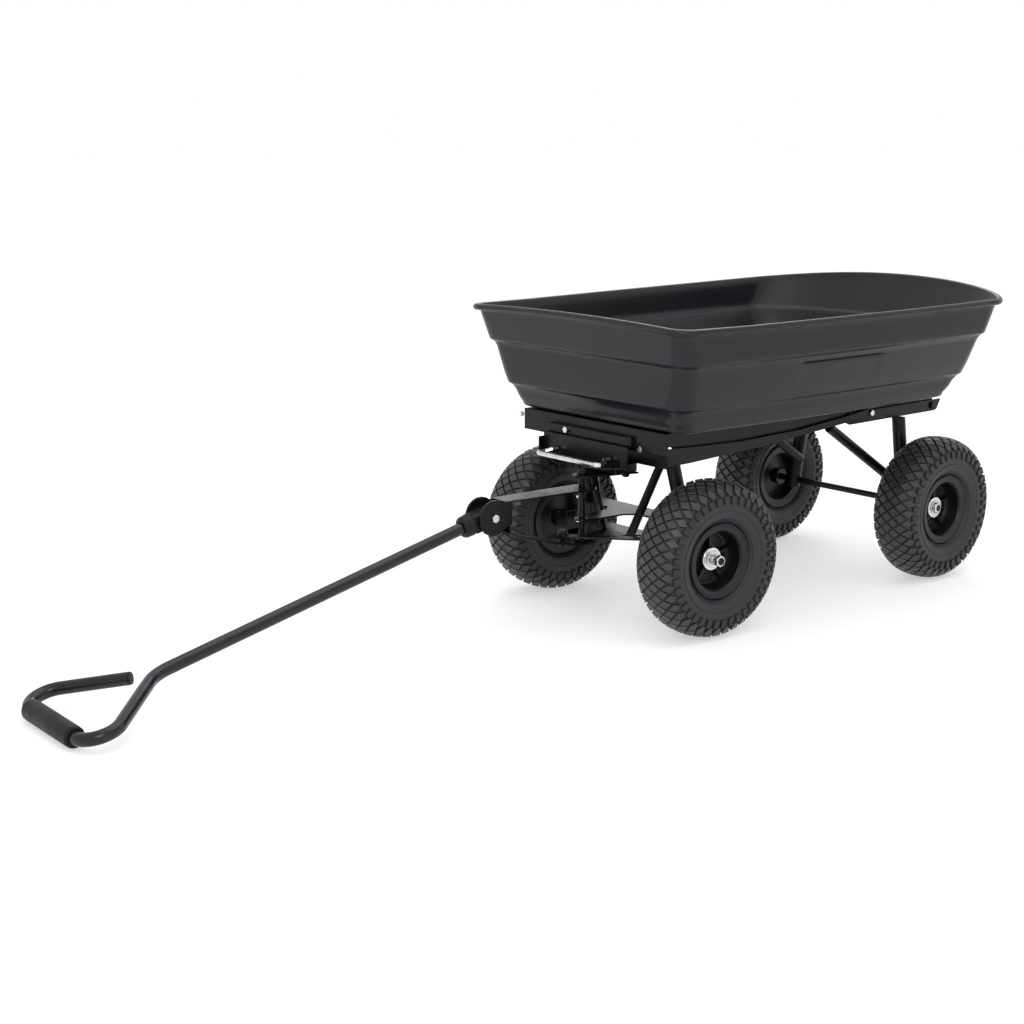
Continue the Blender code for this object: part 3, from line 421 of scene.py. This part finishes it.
def step_inside(level):
    """The inside of the same step, from the wall above it to the wall below."""
    rows = ((0.0036, 0.0075), (0.0055, 0.0030), (0.0120, 0.0014), (0.0140, -0.0040))
    return [(level, inset, rise, 0) for inset, rise in rows]


def tub_rows():
    """The tub's section in three runs, as (level, inset, height above the level, share of the crown)."""
    panel_top = (PANEL_Z[1] - TUB_LEDGE_LOW[0]) / (TUB_LEDGE_HIGH[0] - TUB_LEDGE_LOW[0])
    outside = [(TUB_FLOOR, 0.0200, -0.0008, 0), (TUB_FLOOR, 0.0050, -0.0006, 0)]
    outside += [(TUB_FLOOR, 0.0018, 0.0030, 0), (TUB_FLOOR, 0.0010, 0.0080, 0)]
    for share in (0.36, 0.55, 0.72):
        outside.append(wall(TUB_FLOOR, TUB_LEDGE_LOW, share, 0.0010 + 0.0088 * share))
    outside += step_outside(TUB_LEDGE_LOW)
    by_panel_top = [panel_top + step for step in (-0.05, -0.018, -0.008, 0.008, 0.018, 0.05)]
    shares = (0.22, 0.36, *by_panel_top)
    outside += [wall(TUB_LEDGE_LOW, TUB_LEDGE_HIGH, share, 0.0098 * share) for share in shares]
    outside += step_outside(TUB_LEDGE_HIGH)
    outside += [(TUB_RIM, 0.0136, -0.0170, 1), (TUB_RIM, 0.0122, -0.0108, 1)]
    outside.append((TUB_RIM, 0.0075, -0.0110, 1))
    lip = []
    for degrees in range(-60, 181, 30):
        angle = math.radians(degrees)
        lip.append((TUB_RIM, 0.0062 * (1 - math.cos(angle)), 0.0058 * (math.sin(angle) - 1), 1))
    inside = [(TUB_RIM, 0.0150, -0.0120, 1)]
    inside += [*step_inside(TUB_LEDGE_HIGH), *step_inside(TUB_LEDGE_LOW)]
    inside += [(TUB_FLOOR, 0.0055, TUB_WALL + 0.0030, 0), (TUB_FLOOR, 0.0095, TUB_WALL, 0)]
    inside.append((TUB_FLOOR, 0.0240, TUB_WALL, 0))
    return outside, lip, inside


def pressed(x, y, z, level):
    """The outside with the left wall's panel and groove and the front's recess pressed into it."""
    if y < -(level[2] - 0.03):
        inside = between(x, *PANEL_X, 0.004)
        y += PANEL_DEPTH * inside * between(z, *PANEL_Z, 0.002)
        top = PANEL_Z[1]
        y += GROOVE_DEPTH * inside * between(z, top - 0.0008, top + 0.0008, 0.0004)
    elif x < level[1] + 0.025:
        x += RECESS_DEPTH * between(y, *RECESS_Y, 0.02) * between(z, *RECESS_Z, 0.008)
    return x, y


def build_tub(plastic):
    outside, lip, inside = tub_rows()
    bm = bmesh.new()
    rings = []
    for number, (level, inset, rise, share) in enumerate([*outside, *lip, *inside]):
        half = half_outline(level, inset)
        ring = []
        for x, y in half + [(x, -y) for x, y in reversed(half[1:-1])]:
            z = level[0] + rise + share * crown(x, y)
            if number < len(outside):
                x, y = pressed(x, y, z, level)
            ring.append(bm.verts.new((x + FRONT_X, y, z)))
        rings.append(ring)
    join_rings(bm, rings)
    bm.faces.new(rings[0])
    bm.faces.new(rings[-1])
    bmesh.ops.recalc_face_normals(bm, faces=bm.faces)
    tub = add_piece("moulded_tub", bm, "tub", "tub_plastic", plastic, angle=80)
    smooth = tub.modifiers.new("smooth", "SUBSURF")
    smooth.levels = smooth.render_levels = 1
    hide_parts("tub")


# Wheels, built with the axle on Z and the outer side up

def carcass_outline():
    """Half of a tyre's section from the middle of its tread to its widest point, by arc length."""
    places = []
    for step in range(401):
        angle = math.pi / 2 * (1 - step / 400)
        across = CARCASS_HALF * math.cos(angle) ** SECTION_POWER if step else 0.0
        rise = max(math.sin(angle), 0.0) ** SECTION_POWER
        places.append((SHOULDER_RADIUS + (CARCASS_RADIUS - SHOULDER_RADIUS) * rise, across))
    lengths = [0.0]
    for (r0, z0), (r1, z1) in zip(places, places[1:]):
        lengths.append(lengths[-1] + math.hypot(r1 - r0, z1 - z0))
    return places, lengths


CARCASS, CARCASS_LENGTHS = carcass_outline()
SIDEWALL = (
    (0.0900, 0.0411), (0.0850, 0.0404), (0.0800, 0.0393), (0.0750, 0.0376),
    (0.0700, 0.0349), (0.0665, 0.0318), (0.0645, 0.0285), (0.0632, 0.0262),
)


def on_carcass(distance):
    """The radius, height and outward direction at a distance along the section from its middle."""
    side = -1 if distance < 0 else 1
    distance = min(abs(distance), CARCASS_LENGTHS[-1] + 0.012)
    if distance >= CARCASS_LENGTHS[-1]:
        beyond = distance - CARCASS_LENGTHS[-1]
        return SHOULDER_RADIUS - beyond, side * (CARCASS_HALF - beyond * 0.04), 0.0, side
    low, high = 0, len(CARCASS) - 1
    while high - low > 1:
        middle = (low + high) // 2
        if CARCASS_LENGTHS[middle] > distance:
            high = middle
        else:
            low = middle
    share = (distance - CARCASS_LENGTHS[low]) / (CARCASS_LENGTHS[high] - CARCASS_LENGTHS[low])
    (r0, z0), (r1, z1) = CARCASS[low], CARCASS[high]
    along = Vector((r1 - r0, z1 - z0)).normalized()
    return r0 + (r1 - r0) * share, side * (z0 + (z1 - z0) * share), along.y, -along.x * side


def on_tyre(angle, distance, height):
    radius, across, out, up = on_carcass(distance)
    radius += out * height
    return Vector((radius * math.cos(angle), radius * math.sin(angle), across + up * height))


def tyre_mesh(sidewall, tread):
    bm = bmesh.new()
    half = [*CARCASS[::16], *SIDEWALL]
    ribbed = []
    for radius, across in half:
        ribbed.append((radius, across))
        if abs(radius - 0.0850) < 1e-6:
            ribbed += [(0.0846, 0.0412), (0.0838, 0.0410), (0.0834, 0.0402)]
        if abs(radius - 0.0700) < 1e-6:
            ribbed += [(0.0696, 0.0358), (0.0682, 0.0346), (0.0680, 0.0335)]
    upper = [*ribbed, (0.0622, 0.0262), (0.0516, 0.0256)]
    inside = [(0.0516, 0.0180), (0.0860, 0.0330), (0.1180, 0.0240)]
    mirrored = [(r, -z) for r, z in reversed(upper[1:] + inside)]
    turn(bm, upper + inside + mirrored)
    for face in bm.faces:
        face.smooth = True
    pitch = 2 * math.pi / TREAD_PITCHES
    for row in range(-TREAD_ROWS, TREAD_ROWS + 1):
        for number in range(TREAD_PITCHES):
            middle = (number + (0.5 if row % 2 else 0.0)) * pitch
            levels = []
            for size, height in ((0.85, -0.0008), (0.83, BLOCK_HEIGHT - 0.0009), (0.74, BLOCK_HEIGHT)):
                ends = ((-size, 0), (0, -size), (size, 0), (0, size))
                corners = [(middle + a * pitch / 2, (row + b) * TREAD_ROW) for a, b in ends]
                levels.append((corners, height))
            block(bm, on_tyre, levels, 1)
    edge = (TREAD_ROWS + 0.55) * TREAD_ROW
    lug = ((0.28, 0.0, -0.0008), (0.26, 0.0004, 0.0029), (0.20, 0.0014, 0.0040))
    for side in (-1, 1):
        for number in range(TREAD_PITCHES):
            middle = (number + 0.5 * (TREAD_ROWS % 2 + 1)) * pitch
            levels = []
            for width, trim, height in lug:
                near, far = side * (edge + 0.0010 + trim), side * (edge + 0.0150 - trim)
                corners = [
                    (middle - width * pitch, near), (middle + width * pitch, near),
                    (middle + width * pitch, far), (middle - width * pitch, far),
                ]
                levels.append((corners, height))
            block(bm, on_tyre, levels, 0)
    mesh = bpy.data.meshes.new("tyre")
    bm.to_mesh(mesh)
    bm.free()
    mesh.materials.append(sidewall)
    mesh.materials.append(tread)
    mesh.set_sharp_from_angle(angle=math.radians(30))
    return mesh


def rim_mesh(plastic):
    bm = bmesh.new()
    flange, barrel, edge = FLANGE_RADIUS, BEAD_RADIUS, 0.031
    inner = barrel - 0.0035
    profile = [
        (flange - 0.0006, edge), (flange, edge - 0.0008), (flange, 0.0275), (barrel + 0.002, 0.0264),
        (barrel, 0.0250), (barrel, -0.0250), (barrel + 0.002, -0.0264), (flange, -0.0275),
        (flange, -edge + 0.0008), (flange - 0.0006, -edge), (flange - 0.0030, -edge),
        (inner, -edge + 0.004), (inner - 0.0005, -0.0080), (0.0185, -0.0110), (0.0150, -0.0125),
        (0.0150, -0.0300), (0.0066, -0.0300), (0.0066, 0.0060), (0.0160, 0.0060), (0.0172, 0.0050),
        (0.0180, -0.0010), (0.0210, -0.0040), (0.0400, -0.0030), (0.0440, -0.0012),
        (inner - 0.0006, 0.0030), (inner, 0.0080), (inner + 0.0004, edge - 0.0060),
        (inner + 0.0030, edge - 0.0022),
        (flange - 0.0044, edge - 0.0012), (flange - 0.0030, edge),
    ]
    turn(bm, profile)

    def on_disc(radius, angle, height):
        return Vector((radius * math.cos(angle), radius * math.sin(angle), -0.0035 + height))

    for number in range(RIM_RIBS):
        middle = 2 * math.pi * (number + 0.25) / RIM_RIBS
        levels = []
        for half, height in ((0.0022, -0.001), (0.0016, 0.0085), (0.0010, 0.0093)):
            corners = [
                (0.0165, middle - half / 0.0165), (0.0465, middle - half / 0.0465),
                (0.0465, middle + half / 0.0465), (0.0165, middle + half / 0.0165),
            ]
            levels.append((corners, height))
        block(bm, on_disc, levels)
        pad = 2 * math.pi * (number + 0.75) / RIM_RIBS
        levels = []
        for trim, height in ((0.0, -0.001), (0.0005, 0.0010), (0.0013, 0.0016)):
            span = 0.40 - trim * 30
            outer = [(0.0430 - trim, pad + span * part / 4) for part in range(-4, 5)]
            inside = [(0.0265 + trim, pad + span * part / 4) for part in range(4, -5, -1)]
            levels.append((outer + inside, height))
        block(bm, on_disc, levels)
    mesh = bpy.data.meshes.new("rim")
    bm.to_mesh(mesh)
    bm.free()
    mesh.materials.append(plastic)
    mesh.shade_smooth()
    mesh.set_sharp_from_angle(angle=math.radians(32))
    return mesh


def wheel_frame(joint):
    """A matrix with its origin in the middle of the wheel and +Z out of the cart along the axle."""
    centre, axis = Vector(joint["pos_m"]), Vector(joint["axis"])
    outward = axis if centre.y > 0 else -axis
    return Matrix.Translation(centre) @ outward.to_track_quat("Z", "Y").to_matrix().to_4x4()


def build_wheel(name, tyre, rim):
    place = wheel_frame(JOINTS[f"wheel_{name}_spin"])
    for kind, mesh, slot in (("tyre", tyre, "tyre_rubber"), ("rim", rim, "rim_plastic")):
        made = bpy.data.objects.new(f"{kind}_detail_{name}", mesh)
        bpy.context.scene.collection.objects.link(made)
        made.matrix_world = place
        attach(made, f"wheel_{name}")
        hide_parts(f"{kind}_{name}")


def build_axle_end(name, body, zinc, start, nut_at):
    """Washers against the hub, a spacer and a hexagon nut near the end of the axle."""
    bm = bmesh.new()
    bore = AXLE_RADIUS + 0.0003
    washer = [
        (bore, start), (0.0186, start), (0.0190, start + 0.0004), (0.0190, start + 0.0016),
        (0.0184, start + 0.0022), (0.0150, start + 0.0022), (0.0144, start + 0.0014),
        (0.0128, start + 0.0014), (0.0122, start + 0.0030), (0.0100, start + 0.0034),
        (0.0094, start + 0.0022), (bore, start + 0.0022),
    ]
    turn(bm, washer, 48)
    if nut_at > start + 0.004:
        low, high = start + 0.0020, nut_at - 0.0002
        turn(bm, [(bore, low), (0.0078, low), (0.0078, high), (bore, high)], 32)
    inner_washer = [
        (bore, -0.0332), (0.0150, -0.0332), (0.0155, -0.0327),
        (0.0155, -0.0311), (0.0150, -0.0306), (bore, -0.0306),
    ]
    if name.startswith("front"):
        turn(bm, inner_washer, 48)
    nut = [
        (bore, nut_at), (0.0088, nut_at), (0.0102, nut_at + 0.0007), (0.0102, nut_at + 0.0058),
        (0.0088, nut_at + 0.0065), (0.0076, nut_at + 0.0072), (bore, nut_at + 0.0072),
    ]
    turn(bm, nut, 48, hexagon=(2, 3))
    bm.transform(wheel_frame(JOINTS[f"wheel_{name}_spin"]))
    made = add_piece(f"hub_hardware_{name}", bm, body, "zinc", zinc)
    side = name.split("_")
    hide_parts(f"{side[0]}_axle_nut_{side[1]}")


# Handle

def handle_path():
    """Centreline: down the tube, out to the left, back along the grip and in again on the right."""
    bend = GRIP_REACH - LOOP_CORNER_Y / math.tan(LOOP_ANGLE)
    straight = bend - BEND_RADIUS * math.tan(LOOP_ANGLE / 2)
    path = [(TUBE_START + (straight - TUBE_START) * step / 24, 0.0) for step in range(24)]
    bend_end = math.pi / 2 - LOOP_ANGLE
    path += list(arc((straight, -BEND_RADIUS), BEND_RADIUS, math.pi / 2, bend_end, 12))
    turned_by = math.pi / 2 + LOOP_ANGLE
    centre_y = -LOOP_CORNER_Y + LOOP_CORNER_RADIUS * math.tan(turned_by / 2)
    centre = (GRIP_REACH - LOOP_CORNER_RADIUS, centre_y)
    corner = list(arc(centre, LOOP_CORNER_RADIUS, 0, -turned_by, 20))
    path += list(reversed(corner)) + [(x, -y) for x, y in corner]
    path.append((LOOP_END_X, (LOOP_END_X - bend) * math.tan(LOOP_ANGLE)))
    return [Vector((x, -y, 0)) for x, y in path]


def handle_frame():
    pivot = Matrix.Translation(JOINTS["handle_lift"]["pos_m"])
    downward = Matrix.Rotation(math.pi, 4, "Z") @ Matrix.Rotation(HANDLE_SLOPE, 4, "Y")
    return pivot @ Matrix.Rotation(HANDLE_YAW, 4, "Z") @ downward


def build_handle_tube(coat):
    path = handle_path()
    bm = bmesh.new()
    rings = []
    for number, point in enumerate(path):
        along = path[min(number + 1, len(path) - 1)] - path[max(number - 1, 0)]
        across = Vector((-along.y, along.x, 0)).normalized()
        ring = []
        for step in range(TUBE_SIDES):
            angle = 2 * math.pi * step / TUBE_SIDES
            offset = across * math.cos(angle) + Vector((0, 0, math.sin(angle)))
            ring.append(bm.verts.new(point + offset * HANDLE_RADIUS))
        rings.append(ring)
    # The cut end of the tube: a rounded edge, a thin wall and the plug set into it
    last, last_ring = path[-1], rings[-1]
    outward = (path[-1] - path[-2]).normalized()
    for size, further in ((0.0096, 0.0004), (0.0086, 0.0004), (0.0085, -0.0008)):
        ring = []
        for vert in last_ring:
            from_middle = (vert.co - last) * size / HANDLE_RADIUS
            ring.append(bm.verts.new(last + outward * further + from_middle))
        rings.append(ring)
    join_rings(bm, rings)
    bm.faces.new(rings[0])
    bm.faces.new(rings[-1])
    bmesh.ops.recalc_face_normals(bm, faces=bm.faces)
    bm.transform(handle_frame())
    tube = add_piece("bent_handle_tube", bm, "handle", "powder_coat", coat)
    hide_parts("handle_tube")


def build_grip(rubber):
    """A sleeve on the tube with rounded ends and a shallow band near each of them."""
    bm = bmesh.new()
    half, radius = GRIP_HALF_LENGTH, GRIP_RADIUS
    neck, rounding = radius - 0.0032, 0.0030
    angles = (0.5, 1.0, 1.57)
    ends = [(neck + rounding * math.sin(a), half - rounding * (1 - math.cos(a))) for a in angles]
    bore = HANDLE_RADIUS + 0.0004
    profile = [(bore, -half), (neck, -half), *((r, -z) for r, z in ends)]
    for share in (-0.90, -0.86, 0.86, 0.90):
        profile.append((radius - (0.0002 if abs(share) > 0.88 else 0.0), half * share))
    profile += [*reversed(ends), (neck, half), (bore, half)]
    turn(bm, profile, 48)
    across = Matrix.Translation((GRIP_REACH, 0, 0)) @ Matrix.Rotation(-math.pi / 2, 4, "X")
    bm.transform(handle_frame() @ across)
    grip = add_piece("grip_sleeve", bm, "handle", "grip_rubber", rubber)
    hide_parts("handle_grip")


# Details on the frame

def build_small_bolts(zinc):
    """Small bolt heads on the front of the cross plate that carries the tub."""
    front = FRONT_X + CROSS_PLATE_X
    bolts = (
        ("plate_bolt_left", "tub", (front, -0.112, 0.3060), (-1, 0, 0)),
        ("plate_bolt_right", "tub", (front, 0.180, 0.3270), (-1, 0, 0)),
    )
    for name, body, middle, outward in bolts:
        bm = bmesh.new()
        profile = [
            (0.0048, -0.0010), (0.0048, 0.0008), (0.0042, 0.0009), (0.0042, 0.0028), (0.0036, 0.0034),
        ]
        turn(bm, profile, 36, closed=False, hexagon=(2, 3))
        turned_to = Vector(outward).to_track_quat("Z", "Y").to_matrix().to_4x4()
        bm.transform(Matrix.Translation(middle) @ turned_to)
        add_piece(name, bm, body, "zinc", zinc)


def build_rail_skirts(coat):
    """The turned-down lower edge of each rail under the tub, where it laps inside the chassis."""
    for name, side in LEFT_AND_RIGHT:
        bm = bmesh.new()
        bmesh.ops.create_cube(bm, size=1.0)
        along, across, height = SKIRT_MIDDLE
        middle = Matrix.Translation((FRONT_X + along, side * across, height))
        bm.transform(middle @ Matrix.Diagonal((*SKIRT_SIZE, 1)))
        bmesh.ops.bevel(bm, geom=bm.edges[:], offset=0.0004, segments=2, affect="EDGES", profile=0.5)
        add_piece(f"rail_skirt_{name}", bm, "tub", "powder_coat", coat)


# Carried-over CAD nodes

def finish_nodes(materials):
    """Each CAD node takes a procedural material, and sheet metal gets softened edges."""
    slots = {part["node"]: part["material_slot"] for part in frame["record"]["subparts"]}
    for name, node in frame["nodes"].items():
        slot = slots[name]
        node.data.materials.clear()
        node.data.materials.append(materials[slot])
        if slot not in ("powder_coat", "grip_rubber", "zinc"):
            continue
        joined = node.modifiers.new("joined", "WELD")
        joined.merge_threshold = 0.00002
        edges = node.modifiers.new("edges", "BEVEL")
        edges.width = 0.0003 if slot == "zinc" else 0.0005
        edges.segments = 2
        edges.limit_method = "ANGLE"
        edges.angle_limit = math.radians(40)
        edges.harden_normals = False


# Stage

def aimed(obj, target):
    obj.rotation_euler = (Vector(target) - obj.location).to_track_quat("-Z", "Y").to_euler()


def build_stage():
    bm = bmesh.new()
    bmesh.ops.create_grid(bm, x_segments=1, y_segments=1, size=24)
    mesh = bpy.data.meshes.new("floor")
    bm.to_mesh(mesh)
    bm.free()
    mesh.materials.append(pale_floor())
    floor = bpy.data.objects.new("floor", mesh)
    bpy.context.scene.collection.objects.link(floor)

    world = bpy.data.worlds.new("studio")
    bpy.context.scene.world = world
    world.use_nodes = True
    background = world.node_tree.nodes["Background"]
    background.inputs["Color"].default_value = (1.0, 1.0, 1.0, 1)
    background.inputs["Strength"].default_value = 1.0

    softboxes = (
        ("overhead", (0.2, -0.2, 3.2), 3.0, 3.0, 40),
        ("front_left", (-2.6, -2.6, 2.2), 1.6, 1.6, 34),
        ("rear_right", (2.6, 2.2, 2.4), 1.4, 2.0, 24),
    )
    for name, place, width, height, power in softboxes:
        light = bpy.data.lights.new(name, "AREA")
        light.shape = "RECTANGLE"
        light.size, light.size_y = width, height
        light.energy = power
        lamp = bpy.data.objects.new(name, light)
        bpy.context.scene.collection.objects.link(lamp)
        lamp.location = place
        aimed(lamp, (0, 0, 0.3))


def build_camera():
    camera = bpy.data.cameras.new("camera")
    camera.lens = 63.227
    camera.sensor_width = 36
    camera.clip_end = 60
    made = bpy.data.objects.new("camera", camera)
    bpy.context.scene.collection.objects.link(made)
    made.location = (FRONT_X - 2.0839, -2.1534, 0.8467)
    made.rotation_euler = (math.pi / 2 - 0.2221, 0, -0.7036)
    bpy.context.scene.camera = made


def main():
    bpy.context.scene.view_settings.view_transform = "Standard"
    materials = {
        "powder_coat": powder_coat(),
        "tub_plastic": tub_plastic(),
        "rim_plastic": rim_plastic(),
        "tyre_rubber": sidewall_rubber(),
        "grip_rubber": grip_rubber(),
        "zinc": bright_zinc(),
    }
    build_stage()
    build_camera()
    finish_nodes(materials)
    build_tub(materials["tub_plastic"])
    tyre = tyre_mesh(materials["tyre_rubber"], tread_rubber())
    rim = rim_mesh(materials["rim_plastic"])
    for end in ("front", "rear"):
        for side, _ in LEFT_AND_RIGHT:
            build_wheel(f"{end}_{side}", tyre, rim)
            body = f"knuckle_{side}" if end == "front" else "chassis"
            build_axle_end(f"{end}_{side}", body, materials["zinc"], *AXLE_END_PLACES[end])
    build_handle_tube(handle_coat())
    build_grip(materials["grip_rubber"])
    build_small_bolts(materials["zinc"])
    build_rail_skirts(materials["powder_coat"])


main()
